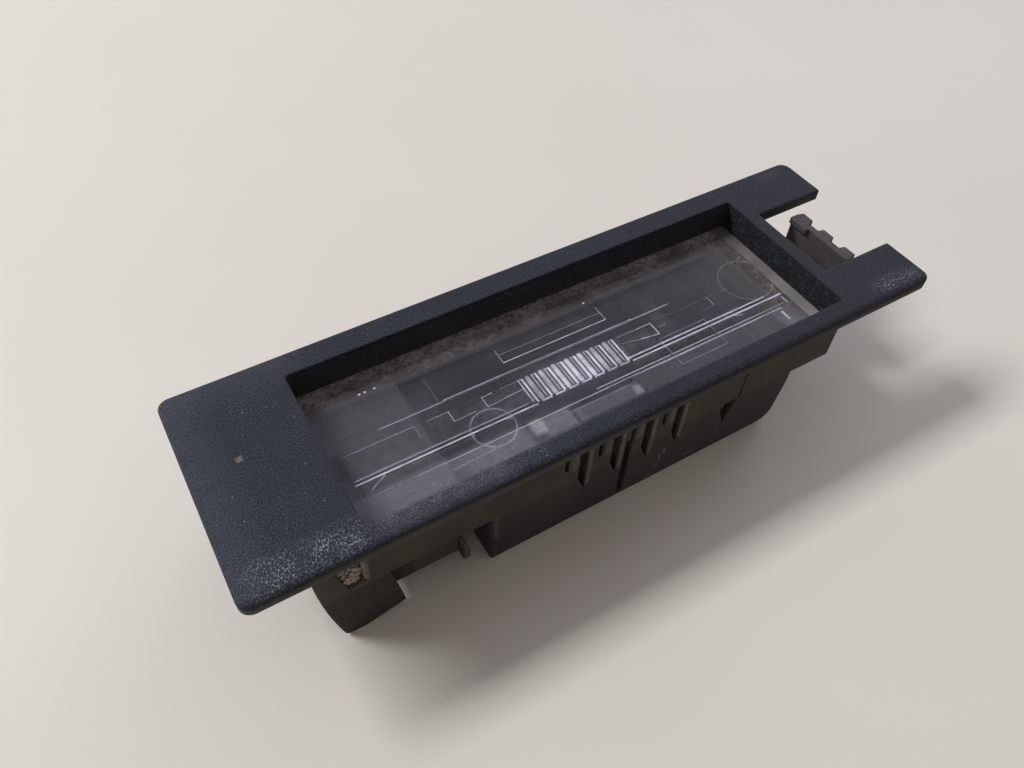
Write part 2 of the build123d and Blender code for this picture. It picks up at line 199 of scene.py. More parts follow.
def stroke(graph: Graph, place: Any, start: Vector, end: Vector, width: float,
           level: float) -> bpy.types.Node:
    """Mask of a straight line with round ends.

    The nearest point of the line lies at the share ((place - start) . run) / (run . run), kept between 0
    and 1, and the mask falls with the distance from it, below 0 far away. Plain sums keep the many lines of
    one face within the renderer's memory for a material.

    Args:
        graph: The material's tree.
        place: Position on the face, in metres.
        start: First end, in metres.
        end: Second end, in metres.
        width: Full width, in metres.
        level: Level on the line.

    Returns:
        Node whose first output is the mask.
    """
    run = end - start
    offset = graph.add("VectorMath", (place, start), operation="SUBTRACT")
    share = graph.add("VectorMath", (offset, run / run.length_squared), operation="DOT_PRODUCT")
    share = graph.add("Clamp", (share,))
    nearest = graph.add("VectorMath", (run, share), operation="SCALE")
    distance = graph.add("VectorMath", (offset, nearest), operation="DISTANCE")
    slope = level / (STROKE_SOFT * width)
    fall = graph.add("Math", (distance, -slope, slope * STROKE_REACH * width), operation="MULTIPLY_ADD")
    return graph.add("Math", (fall, level), operation="MINIMUM")


def speckle(graph: Graph, place: Any, spacing: float, reach: float, share: float,
            level: float) -> bpy.types.Node:
    """Mask of scattered grains: cells nearer than a reach to their own point, for a share of the cells.

    Args:
        graph: The material's tree.
        place: Position, in metres.
        spacing: Mean distance between grain places, in metres.
        reach: Radius of a grain as a share of the spacing.
        share: Share of the places that hold a grain.
        level: Level on a grain.

    Returns:
        Node whose first output is the mask.
    """
    cells = graph.add("TexVoronoi", {"Vector": place, "Scale": 1 / spacing})
    grain = graph.add("MapRange", (cells.outputs["Distance"], reach * GRAIN_CORE, reach, level, 0.0))
    chance = graph.add("SeparateColor", (cells.outputs["Color"],))
    chosen = graph.add("Math", (chance, share), operation="LESS_THAN")
    return graph.add("Math", (grain, chosen), operation="MULTIPLY")


def mesh_piece(name: str, points: np.ndarray, faces: list[list[int]], material: bpy.types.Material,
               replaces: tuple[str, ...] = (), smooth: bool = True) -> bpy.types.Object:
    """Makes a riding piece from points and faces in the lamp's frame.

    Args:
        name: Piece name.
        points: Points in metres, one row each.
        faces: Point numbers of each face, turning outwards.
        material: Finish.
        replaces: CAD nodes that the piece stands for.
        smooth: Whether the faces are shaded smooth.

    Returns:
        The new object.
    """
    mesh = bpy.data.meshes.new(name)
    mesh.from_pydata(points.tolist(), [], faces)
    mesh.materials.append(material)
    mesh.polygons.foreach_set("use_smooth", np.full(len(mesh.polygons), smooth))
    mesh.update()
    piece = bpy.data.objects.new(name, mesh)
    bpy.context.scene.collection.objects.link(piece)
    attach(piece, ROOT)
    if replaces:
        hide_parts(*replaces)
    log.info("%s: %d faces", name, len(faces))
    return piece


def dress(node: str, material: bpy.types.Material) -> None:
    """Gives a CAD node its finish.

    Args:
        node: Name of the node.
        material: Finish.
    """
    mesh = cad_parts[node].data
    mesh.materials.clear()
    mesh.materials.append(material)
    log.info("%s: dressed in %s", node, material.name)


@dataclass(frozen=True)
class Patch:
    """Soft box on the plastic, in millimetres from the datum."""

    along: float
    across: float
    behind: float
    half: Triple
    soft: float
    strength: float

    def mask(self, graph: Graph, place: Any, datum: Datum) -> bpy.types.Node:
        """Mask that holds the patch's strength inside it and falls to 0 over its border."""
        middle = datum.point(self.along, self.across, self.behind)
        return zone(graph, place, middle, tuple(np.multiply(self.half, MM)), self.soft * MM, self.strength)


@dataclass(frozen=True)
class Mark(Patch):
    """Stain or scrape: a patch of one colour."""

    colour: str


@dataclass(frozen=True)
class GrainedAbs:
    """Black ABS, injection moulded in a spark-eroded tool, then years outdoors.

    The grain breaks the gloss into a soft blue-black sheen, dust stays in it as a fine pale mottle, a brown
    film covers the sides, and edges turn grey, partly from rubbing and partly as a painted highlight. The
    recess's end wall is painted darker as shade. Depths are in millimetres behind the bezel's face.
    """

    name: str
    marks: tuple[Mark, ...]
    scuffs: tuple[Patch, ...] = ()
    black: str = "20232c"
    dust: str = "4d515e"
    brown: str = "454136"
    shade: str = "131416"
    rubbed_and_highlight: str = "6a6357"
    pale: str = "a3aab5"
    roughness: float = 0.7
    gloss: float = 0.18
    # Real spark grain is about 0.05 mm across. It and the scuffs in it are drawn coarser, so that they show.
    grain: float = 0.17 * MM
    grain_depth: float = 0.018 * MM
    clump: float = 0.17 * MM
    clump_stretch: float = 0.6
    clump_patch: float = 1.3 * MM
    patch_share: float = 0.25
    cloud: float = 6 * MM
    edge: float = 0.5 * MM
    speck_spacing: float = 1.1 * MM
    crumb_spacing: float = 0.55 * MM
    recess: Patch = Patch(45.3, 13.75, 2.2, (32.0, 11.0, 1.6), 0.3, 1.0)
    film_depths: Pair = (0.4, 0.85)
    film_in_recess: float = 0.35
    dust_depths: Pair = (4.2, 4.4)

    def make(self, datum: Datum) -> bpy.types.Material:
        """Builds the material.

        Args:
            datum: The lamp's measuring frame.

        Returns:
            The finished material.
        """
        material = bpy.data.materials.new(self.name)
        graph = Graph(material)
        place = graph.add("TexCoord").outputs["Object"]
        height = graph.add("SeparateXYZ", (place,)).outputs["Z"]
        facing = graph.add("NewGeometry").outputs["True Normal"]
        side = graph.add("SeparateXYZ", (facing,)).outputs
        top = graph.add("MapRange", (side["Z"], 0.2, 0.9, 0.0, 1.0))
        grain = graph.add("TexNoise", {"Vector": place, "Scale": 1 / self.grain, "Detail": 5.0,
                                       "Roughness": 0.65})
        cloud = graph.add("TexNoise", {"Vector": place, "Scale": 1 / self.cloud, "Detail": 4.0})
        clump = self.clumps(graph, place)
        recess = self.recess.mask(graph, place, datum)

        # The brown film begins below the face's edge. It is cloudy, and thinner in the recess.
        start, full = (datum.behind(depth) for depth in self.film_depths)
        low = graph.add("MapRange", (height, start, full, 0.0, 1.0))
        thin = graph.add("MapRange", (recess, 0.0, 1.0, 1.0, self.film_in_recess))
        film = graph.add("Math", (low, thin), operation="MULTIPLY")
        cloudy = graph.add("MapRange", (cloud, 0.3, 0.6, 0.5, 1.0))
        film = graph.add("Math", (film, cloudy), operation="MULTIPLY")
        colour = graph.add("Mix", (film, linear(self.black), linear(self.brown)), data_type="RGBA")

        # Painted shade: the recess's wall that faces the plain end is darkened towards the shade colour, the
        # more the further it turns that way.
        turned = graph.add("MapRange", (side["X"], -0.3, -0.8, 0.0, 0.9))
        painted_wall_shade = graph.add("Math", (recess, turned), operation="MULTIPLY")
        colour = graph.add("Mix", (painted_wall_shade, colour, linear(self.shade)), data_type="RGBA")

        # Dust lies in the grain, most of it on the bezel's face.
        mottle = graph.add("MapRange", (grain, 0.45, 0.66, 0.0, 0.9))
        bare, dusty = (datum.behind(depth) for depth in reversed(self.dust_depths))
        face = graph.add("MapRange", (height, bare, dusty, 0.0, 1.0))
        face = graph.add("Math", (top, face), operation="MULTIPLY")
        laden = graph.add("MapRange", (face, 0.0, 1.0, 0.25, 1.0))
        mottle = graph.add("Math", (mottle, laden), operation="MULTIPLY")
        uneven = graph.add("MapRange", (cloud, 0.35, 0.65, 0.7, 1.2))
        mottle = graph.add("Math", (mottle, uneven), operation="MULTIPLY")
        colour = graph.add("Mix", (mottle, colour, linear(self.dust)), data_type="RGBA")

        # Edges, where the rounded normal turns away from the face's own, turn grey: partly rubbed wear, most
        # below the face, and partly a painted highlight, which the 0.35 floor keeps on the top edges too.
        bevel = graph.add("Bevel", {"Radius": self.edge}, samples=6)
        turn = graph.add("VectorMath", (bevel, facing), operation="DOT_PRODUCT")
        rubbed_and_highlit = graph.add("MapRange", (turn, 0.985, 0.8, 0.0, 0.55))
        uneven = graph.add("MapRange", (cloud, 0.35, 0.6, 0.25, 1.0))
        rubbed_and_highlit = graph.add("Math", (rubbed_and_highlit, uneven), operation="MULTIPLY")
        below = graph.add("MapRange", (low, 0.0, 1.0, 0.35, 1.0))
        rubbed_and_highlit = graph.add("Math", (rubbed_and_highlit, below), operation="MULTIPLY")
        colour = graph.add("Mix", (rubbed_and_highlit, colour, linear(self.rubbed_and_highlight)), data_type="RGBA")

        # Stains and scrapes break up into clumps.
        broken = graph.add("MapRange", (clump, 0.36, 0.6, 0.15, 1.0))
        for mark in self.marks:
            spot = graph.add("Math", (mark.mask(graph, place, datum), broken), operation="MULTIPLY")
            colour = graph.add("Mix", (spot, colour, linear(mark.colour)), data_type="RGBA")
        pale = self.pale_wear(graph, datum, place, top, recess, clump, cloud)
        colour = graph.add("Mix", (pale, colour, linear(self.pale)), data_type="RGBA")

        rough = graph.add("MapRange", (cloud, 0.3, 0.7, self.roughness - 0.06, self.roughness + 0.08))
        bump = graph.add("Bump", {"Height": grain, "Distance": self.grain_depth, "Strength": 0.9,
                                  "Normal": bevel})
        shader = graph.add("BsdfPrincipled", {"Base Color": colour, "Roughness": rough, "Normal": bump,
                                              "Specular IOR Level": self.gloss})
        graph.add("OutputMaterial", {"Surface": shader})
        return material

    def clumps(self, graph: Graph, place: Any) -> bpy.types.Node:
        """Noise of the size of a scuff's specks, gathered into patches, with its middle at a half.

        Args:
            graph: The material's tree.
            place: Position, in metres.

        Returns:
            Node whose first output is the noise.
        """
        stretched = graph.add("VectorMath", (place, (1, self.clump_stretch, 1)), operation="MULTIPLY")
        specks = graph.add("TexNoise", {"Vector": stretched, "Scale": 1 / self.clump, "Detail": 3.0})
        patches = graph.add("TexNoise", {"Vector": place, "Scale": 1 / self.clump_patch, "Detail": 3.0})
        lowered = graph.add("Math", (specks, self.patch_share / 2), operation="SUBTRACT")
        return graph.add("Math", (patches, self.patch_share, lowered), operation="MULTIPLY_ADD")

    def pale_wear(self, graph: Graph, datum: Datum, place: Any, top: Any, recess: Any, clump: Any,
                  cloud: Any) -> bpy.types.Node:
        """Mask of pale wear: dense scuffs, scattered specks and dust on the recess walls.

        Args:
            graph: The material's tree.
            datum: The lamp's measuring frame.
            place: Position, in metres.
            top: Mask of the faces that look up.
            recess: Mask of the recess in front of the lens.
            clump: Noise of the size of a scuff.
            cloud: Noise of the size of a dirty patch.

        Returns:
            Node whose first output is the mask.
        """
        scuffed: Any = 0.0
        for scuff in self.scuffs:
            scuffed = graph.add("Math", (scuffed, scuff.mask(graph, place, datum)), operation="MAXIMUM")
        uneven = graph.add("MapRange", (cloud, 0.36, 0.6, 0.55, 1.0))
        scuffed = graph.add("Math", (scuffed, uneven), operation="MULTIPLY")
        broken = graph.add("MapRange", (clump, 0.53, 0.64, 0.0, 1.0))
        scuffed = graph.add("Math", (scuffed, broken), operation="MULTIPLY")
        specks = speckle(graph, place, self.speck_spacing, 0.1, 0.32, 0.5)
        wear = graph.add("Math", (scuffed, specks), operation="MAXIMUM")
        wear = graph.add("Math", (wear, top), operation="MULTIPLY")
        crumbs = speckle(graph, place, self.crumb_spacing, 0.26, 0.16, 0.35)
        powder = graph.add("MapRange", (clump, 0.55, 0.75, 0.0, 0.16))
        walls = graph.add("Math", (crumbs, powder), operation="MAXIMUM")
        walls = graph.add("Math", (recess, walls), operation="MULTIPLY")
        return graph.add("Math", (wear, walls), operation="MAXIMUM")


@dataclass(frozen=True)
class Line:
    """Straight moulded line of the lens, placed as it shows on the face, in mm along and across the bezel."""

    start: Pair
    end: Pair
    width: float
    rise: float
    # Level of the bright line painted over it: a painted glint where it would catch the light.
    painted_glint: float


@dataclass(frozen=True)
class Ring:
    """Round moulded line of the lens, placed as a straight one is."""

    middle: Pair
    radius: float
    width: float
    rise: float
    # Level of the bright line painted over it: a painted glint where it would catch the light.
    painted_glint: float


@dataclass(frozen=True)
class Haze:
    """Milky or dirty patch of the lens's face: a soft rectangle, in mm along and across the bezel."""

    middle: Pair
    half: Pair
    soft: float
    level: float

    def mask(self, graph: Graph, flat: Any, datum: Datum) -> bpy.types.Node:
        """Mask that holds the level inside the rectangle and falls to 0 over its border."""
        half = (self.half[0] * MM, self.half[1] * MM, 1.0)
        return zone(graph, flat, datum.flat(*self.middle), half, self.soft * MM, self.level)


def rectangle(low: Pair, high: Pair, width: float, rise: float, painted_glint: float) -> list[Line]:
    """Four lines round a rectangle, from its low and high corners."""
    corners = [low, (high[0], low[1]), high, (low[0], high[1])]
    return [Line(corners[i], corners[(i + 1) % 4], width, rise, painted_glint) for i in range(4)]


@dataclass(frozen=True)
class ClearAcrylic:
    """Clear acrylic (PMMA), injection moulded with its optics behind, dusty in front.

    It shows the dark chamber behind it under a thin blue-grey veil. Bright lines are painted over its ridges
    as glints, where they would catch the light; its near strip and its welded end are milky, and brown dust
    lies along its far edge.
    """

    name: str = "acrylic_moulded_clear_dusty"
    tint: str = "e0e2f3"
    dust: str = "a59fa0"
    weld: str = "818180"
    weld_far: str = "5f5e59"
    weld_along: float = 75.35
    weld_across: Pair = (7.0, 19.0)
    weld_soft: float = 0.1
    roughness: float = 0.1
    refraction: float = 1.49
    mirror: str = "b3b3b7"
    veil: float = 0.03
    # Share of a moulded line's width that is painted bright as a glint.
    core: float = 0.7
    cloud: float = 5 * MM
    fine: float = 0.6 * MM
    broken: float = 1.6 * MM
    grain_spacing: float = 0.6 * MM
    far_dirt: Haze = Haze((45.0, 23.9), (40.0, 0.9), 3.0, 0.62)
    end_dirt: Haze = Haze((75.0, 15.5), (0.5, 6.5), 4.6, 0.3)
    # The second one is a notch in the first, so its level is below 0.
    hazes: tuple[Haze, ...] = (
        Haze((19.0, 13.5), (5.6, 9.0), 0.3, 0.045),
        Haze((14.4, 12.5), (0.6, 1.6), 0.15, -0.06),
        Haze((74.0, 13.5), (1.0, 12.0), 0.8, 0.04),
        Haze((73.6, 6.2), (1.4, 1.4), 1.2, 0.12),
        Haze((24.0, 6.3), (10.0, 1.1), 1.0, 0.1),
        Haze((62.0, 6.3), (12.0, 1.3), 0.6, 0.045),
        Haze((36.0, 6.9), (0.4, 0.6), 0.7, 0.3),
        Haze((38.4, 6.4), (1.8, 1.1), 0.3, 0.1),
        Haze((34.0, 5.9), (6.0, 1.0), 2.0, 0.07),
        Haze((45.2, 6.0), (4.2, 0.8), 0.4, 0.09),
        Haze((49.1, 5.8), (0.35, 0.5), 0.3, 0.18),
        # Painted highlight: milkiness over the prism bars, where they would catch the light.
        Haze((44.4, 11.9), (6.9, 1.8), 0.15, 0.05),
        Haze((43.6, 11.9), (2.8, 1.8), 1.0, 0.06),
    )

    def make(self, datum: Datum, front: float, lines: list[Line], rings: list[Ring]) -> bpy.types.Material:
        """Builds the material.

        Args:
            datum: The lamp's measuring frame.
            front: Depth of the lens's face behind the bezel's, in mm.
            lines: Straight lines, painted bright where they would catch the light.
            rings: Round lines, painted bright the same way.

        Returns:
            The finished material.
        """
        material = bpy.data.materials.new(self.name)
        graph = Graph(material)
        place = graph.add("TexCoord").outputs["Object"]
        spot = graph.add("SeparateXYZ", (place,)).outputs
        flat = graph.add("VectorMath", (place, (1, 1, 0)), operation="MULTIPLY")
        cloud = graph.add("TexNoise", {"Vector": place, "Scale": 1 / self.cloud, "Detail": 5.0})
        fine = graph.add("TexNoise", {"Vector": place, "Scale": 1 / self.fine, "Detail": 5.0,
                                      "Roughness": 0.7})
        painted_glint = self.glints(graph, datum, place, flat, lines, rings)
        face = graph.add("Math", (spot["Z"], datum.behind(front + 0.1)), operation="GREATER_THAN")

        # Brown dirt along the far edge and at the welded end, cloudy and grainy.
        far = self.far_dirt.mask(graph, flat, datum)
        dirt = graph.add("Math", (far, self.end_dirt.mask(graph, flat, datum)), operation="MAXIMUM")
        cloudy = graph.add("MapRange", (cloud, 0.34, 0.6, 0.45, 1.0))
        dirt = graph.add("Math", (dirt, cloudy), operation="MULTIPLY")
        grainy = graph.add("MapRange", (fine, 0.34, 0.64, 0.35, 1.45))
        dirt = graph.add("Math", (dirt, grainy), operation="MULTIPLY")

        # A thin veil all over, the dirt and the milky patches together make the haze.
        veil = graph.add("MapRange", (cloud, 0.3, 0.75, self.veil * 0.7, self.veil * 1.4))
        haze = graph.add("Math", (veil, dirt), operation="ADD")
        dusted = graph.add("MapRange", (fine, 0.3, 0.65, 0.7, 1.15))
        for patch in self.hazes:
            milk = graph.add("Math", (patch.mask(graph, flat, datum), dusted), operation="MULTIPLY")
            haze = graph.add("Math", (haze, milk), operation="ADD")
        haze = graph.add("Math", (haze, 0.0), operation="MAXIMUM")

        # Haze, the painted glints of the lines and the weld on the face take the place of clear plastic.
        start = datum.along(self.weld_along - self.weld_soft)
        full = datum.along(self.weld_along + self.weld_soft)
        weld = graph.add("MapRange", (spot["X"], start, full, 0.0, 1.0))
        milky = graph.add("Math", (haze, painted_glint), operation="ADD")
        milky = graph.add("Math", (milky, weld), operation="MAXIMUM")
        milky = graph.add("Math", (milky, face), operation="MULTIPLY")
        milky = graph.add("Math", (milky, 1.0), operation="MINIMUM")
        clear = graph.add("Math", (1.0, milky), operation="SUBTRACT")

        # Dirt takes the dust's colour, except on the painted glints, and the weld its own greys.
        soiled = graph.add("MapRange", (dirt, 0.0, 0.12, 0.0, 1.0))
        soiled = graph.add("Math", (soiled, face), operation="MULTIPLY")
        soiled = graph.add("Math", (painted_glint, -3.0, soiled), operation="MULTIPLY_ADD")
        colour = graph.add("Mix", (soiled, linear(self.tint), linear(self.dust)), data_type="RGBA")
        near_end, far_end = (datum.across(distance) for distance in self.weld_across)
        near = graph.add("MapRange", (spot["Y"], far_end, near_end, 0.0, 1.0))
        joint = graph.add("Mix", (near, linear(self.weld_far), linear(self.weld)), data_type="RGBA")
        blotchy = graph.add("MapRange", (cloud, 0.4, 0.65, 0.0, 0.45))
        joint = graph.add("Mix", (blotchy, joint, linear(self.dust)), data_type="RGBA")
        welded = graph.add("Math", (weld, face), operation="MULTIPLY")
        colour = graph.add("Mix", (welded, colour, joint), data_type="RGBA")

        shader = graph.add("BsdfPrincipled", {"Base Color": colour, "Roughness": self.roughness,
                                              "IOR": self.refraction, "Transmission Weight": clear,
                                              "Specular Tint": linear(self.mirror)})
        graph.add("OutputMaterial", {"Surface": shader})
        return material

    def glints(self, graph: Graph, datum: Datum, place: Any, flat: Any, lines: list[Line],
               rings: list[Ring]) -> bpy.types.Node:
        """Mask of painted glints: bright lines where the moulded lines would catch the light, made uneven,
        and scattered dust grains.

        Args:
            graph: The material's tree.
            datum: The lamp's measuring frame.
            place: Position, in metres.
            flat: Position with its height left out, in metres.
            lines: Straight lines.
            rings: Round lines.

        Returns:
            Node whose first output is the mask.
        """
        painted_glint: Any = 0.0
        for line in lines:
            start, end = Vector(datum.flat(*line.start)), Vector(datum.flat(*line.end))
            mask = stroke(graph, flat, start, end, line.width * self.core * MM, line.painted_glint)
            painted_glint = graph.add("Math", (painted_glint, mask), operation="MAXIMUM")
        for ring in rings:
            radius = graph.add("VectorMath", (flat, datum.flat(*ring.middle)), operation="DISTANCE")
            gap = graph.add("Math", (radius, ring.radius * MM), operation="SUBTRACT")
            gap = graph.add("Math", (gap,), operation="ABSOLUTE")
            mask = graph.add("MapRange", (gap, ring.width * 0.2 * MM, ring.width * 0.6 * MM, ring.painted_glint, 0.0))
            painted_glint = graph.add("Math", (painted_glint, mask), operation="MAXIMUM")
        broken = graph.add("TexNoise", {"Vector": place, "Scale": 1 / self.broken, "Detail": 3.0})
        uneven = graph.add("MapRange", (broken, 0.35, 0.6, 0.65, 1.15))
        painted_glint = graph.add("Math", (painted_glint, uneven), operation="MULTIPLY")
        grains = speckle(graph, place, self.grain_spacing, 0.22, 0.25, 0.16)
        return graph.add("Math", (painted_glint, grains), operation="MAXIMUM")


@dataclass(frozen=True)
class PlainFinish:
    """A finish whose look is mostly one colour, broken by a stain in patches of a real size."""

    name: str
    colour: str
    stain: str
    metallic: float
    roughness: float
    transmission: float = 0.0
    patch: float = 1.5 * MM

    def make(self) -> bpy.types.Material:
        """Builds the material: the stain shows where a noise of the patch's size is high.

        Returns:
            The finished material.
        """
        material = bpy.data.materials.new(self.name)
        graph = Graph(material)
        place = graph.add("TexCoord").outputs["Object"]
        cloud = graph.add("TexNoise", {"Vector": place, "Scale": 1 / self.patch, "Detail": 4.0})
        stained = graph.add("MapRange", (cloud, 0.45, 0.7, 0.0, 1.0))
        colour = graph.add("Mix", (stained, linear(self.colour), linear(self.stain)), data_type="RGBA")
        rough = graph.add("MapRange", (cloud, 0.3, 0.7, self.roughness * 0.8, self.roughness * 1.25))
        shader = graph.add("BsdfPrincipled", {"Base Color": colour, "Metallic": self.metallic,
                                              "Roughness": rough, "Transmission Weight": self.transmission})
        graph.add("OutputMaterial", {"Surface": shader})
        return material


# A clear tube with a faint grey film, which shows as soft glints round the bulb.
DRAWN_GLASS = PlainFinish("glass_drawn_clear", "eef0ee", "d8d8d0", 0.0, 0.3, 1.0)
# Dull grey caps with darker blotches.
TARNISHED_NICKEL = PlainFinish("nickel_plate_pressed_tarnished", "6d6a64", "45423c", 1.0, 0.62)
# A dark wire with a soft shine along it.
DRAWN_TUNGSTEN = PlainFinish("tungsten_drawn", "5a5a5c", "3e3e40", 1.0, 0.4)
# Brownish strips with hardly any shine left.
OXIDISED_BRASS = PlainFinish("brass_pressed_oxidised", "524a3c", "3a352c", 1.0, 0.5)
# Pale tan lumps with dark pits between them, without gloss. The tan is paler than the dust's own, as painted
# light, since the clump sits in the bezel's shade.
MATTED_DUST_PAINTED_PALER = PlainFinish("dust_matted_dry", "b0a395", "4d433a", 0.0, 0.95, patch=0.3 * MM)


@dataclass(frozen=True)
class Lens:
    """Clear lens plate: flat in front, with folds, prism bars and outlines raised behind.

    Lines are placed in millimetres as they show on the face. The plate bends the view, so each one lies
    further along and across behind it, by sight_shift.
    """

    datum: Datum
    corner: float = 0.5
    front: float = 4.0
    thickness: float = 1.6
    fine_step: float = 0.1
    coarse_step: float = 0.34
    fine_along: Pair = (37.0, 58.5)
    sight_shift: Pair = (0.5, 0.6)
    fold_ends: Pair = (15.1, 74.8)
    prism_first: float = 37.95
    prism_pitch: float = 1.84
    prism_count: int = 8
    prism_across: Pair = (10.1, 13.7)
    prism_rise: float = 0.4
    # Share of the pitch before a prism bar's crest.
    prism_slope: float = 0.7

    def folds(self) -> list[Line]:
        """Double lines of the two folds that run the whole length, painted bright as glints.

        Returns:
            The lines.
        """
        left, right = self.fold_ends
        return [
            Line((left, 9.75), (37.75, 9.75), 0.3, 0.4, 0.8),
            Line((51.3, 9.75), (right, 9.75), 0.3, 0.4, 0.9),
            Line((left, 10.4), (37.6, 10.4), 0.22, 0.1, 0.14),
            Line((50.6, 10.35), (72.5, 10.35), 0.28, 0.3, 0.6),
            Line((left, 7.75), (45.0, 7.8), 0.2, 0.1, 0.16),
            Line((45.0, 7.8), (73.2, 7.75), 0.22, 0.2, 0.3),
            Line((45.0, 8.3), (74.0, 8.3), 0.18, 0.1, 0.22),
            Line((20.0, 15.5), (29.0, 15.5), 0.2, 0.1, 0.08),
            Line((28.5, 15.5), (55.0, 15.5), 0.2, 0.2, 0.5),
            Line((55.0, 15.5), (61.0, 15.5), 0.2, 0.1, 0.16),
        ]

    def prisms(self) -> list[Line]:
        """Lines of the prism bars, which are broader and fuller in the middle of the row.

        Each bar has a crest, a thin line beside it and a short line across its far end. Between two bars
        there are a broad painted glint with no relief and a short line across the near end.

        Returns:
            The lines.
        """
        lines = []
        near, far = self.prism_across
        for i in range(self.prism_count):
            along = self.prism_first + i * self.prism_pitch
            inner = 1 - abs(2 * i / (self.prism_count - 1) - 1)
            lines.append(Line((along, near), (along, far), 0.32 + 0.26 * inner, 0.1, 1.0 - 0.15 * inner))
            lines.append(Line((along - 0.5, near + 0.2), (along - 0.5, far), 0.2, 0.0, 0.75 - 0.3 * inner))
            lines.append(Line((along - 0.6, far + 0.1), (along + 0.05, far + 0.12), 0.22, 0.02, 0.5))
            if i < self.prism_count - 1:
                painted_glint = 0.4 + 0.42 * inner
                lines.append(Line((along + 0.68, near + 0.2), (along + 0.68, far), 0.9, 0.0, painted_glint))
            if i:
                lines.append(Line((along - 1.3, near - 0.2), (along - 0.1, near - 0.2), 0.28, 0.2, 0.8))
        return lines

    def outlines(self) -> list[Line]:
        """Frames, the tray and the brackets beside the prism bars.

        Returns:
            The lines.
        """
        tray = [
            Line((37.4, 17.05), (52.2, 17.05), 0.22, 0.05, 0.6),
            Line((37.4, 17.05), (37.4, 19.2), 0.2, 0.0, 0.3),
            Line((52.2, 17.05), (52.2, 19.4), 0.22, 0.05, 0.3),
            Line((37.6, 18.35), (52.2, 18.35), 0.18, 0.05, 0.22),
            Line((27.9, 15.5), (27.9, 19.4), 0.24, 0.05, 0.1),
        ]
        left = [
            Line((15.2, 13.8), (23.9, 13.8), 0.22, 0.05, 0.22),
            Line((23.9, 12.1), (23.9, 13.8), 0.22, 0.05, 0.13),
            Line((25.4, 13.75), (28.2, 13.75), 0.2, 0.05, 0.25),
            Line((28.2, 12.2), (28.2, 13.75), 0.22, 0.05, 0.4),
            Line((28.2, 12.2), (31.0, 12.25), 0.2, 0.05, 0.3),
            Line((32.5, 12.2), (32.5, 13.8), 0.26, 0.05, 0.4),
            Line((32.5, 12.15), (37.6, 12.45), 0.22, 0.05, 0.28),
            Line((32.6, 13.65), (33.9, 13.75), 0.26, 0.05, 0.45),
            Line((35.0, 13.75), (37.6, 13.8), 0.2, 0.05, 0.2),
            Line((16.4, 8.5), (18.3, 9.5), 0.3, 0.05, 0.3),
            Line((25.0, 6.5), (32.8, 6.75), 0.4, 0.05, 0.1),
            Line((40.2, 6.85), (48.4, 6.85), 0.2, 0.0, 0.14),
        ]
        right = [
            Line((51.6, 12.6), (54.2, 12.1), 0.22, 0.05, 0.22),
            Line((54.2, 12.1), (56.7, 11.75), 0.28, 0.05, 0.5),
            Line((51.7, 13.75), (54.4, 13.75), 0.2, 0.05, 0.3),
            Line((54.4, 13.75), (56.7, 13.75), 0.24, 0.05, 0.5),
            Line((56.7, 11.75), (56.7, 13.75), 0.28, 0.05, 0.6),
            Line((57.2, 12.7), (58.4, 12.7), 0.18, 0.05, 0.2),
            Line((57.4, 13.85), (69.6, 13.85), 0.2, 0.05, 0.1),
            Line((65.9, 12.35), (65.9, 14.0), 0.22, 0.05, 0.24),
            Line((64.2, 12.3), (65.9, 12.3), 0.2, 0.05, 0.12),
            Line((65.8, 10.0), (68.0, 9.2), 0.24, 0.05, 0.3),
            Line((66.8, 10.1), (68.2, 10.7), 0.2, 0.05, 0.2),
            Line((72.8, 5.8), (72.8, 7.1), 0.5, 0.05, 0.4),
            Line((74.6, 8.1), (74.6, 9.2), 0.32, 0.05, 0.4),
        ]
        return tray + left + right + rectangle((56.1, 6.35), (63.1, 11.0), 0.22, 0.05, 0.2)

    def dots(self) -> list[Line]:
        """Four small bright dots near the far edge, as very short lines."""
        spots = [(20.4, 21.0), (21.1, 21.0), (22.3, 21.0), (51.3, 20.8)]
        return [Line((u, v), (u + 0.1, v), 0.36, 0.0, 0.8) for u, v in spots]

    def rings(self) -> list[Ring]:
        """Two plain rings."""
        return [Ring((31.6, 9.3), 2.65, 0.28, 0.03, 0.17), Ring((72.5, 14.0), 3.6, 0.24, 0.03, 0.12)]

    def lines(self) -> list[Line]:
        """All straight lines of the lens."""
        return self.folds() + self.prisms() + self.outlines() + self.dots()

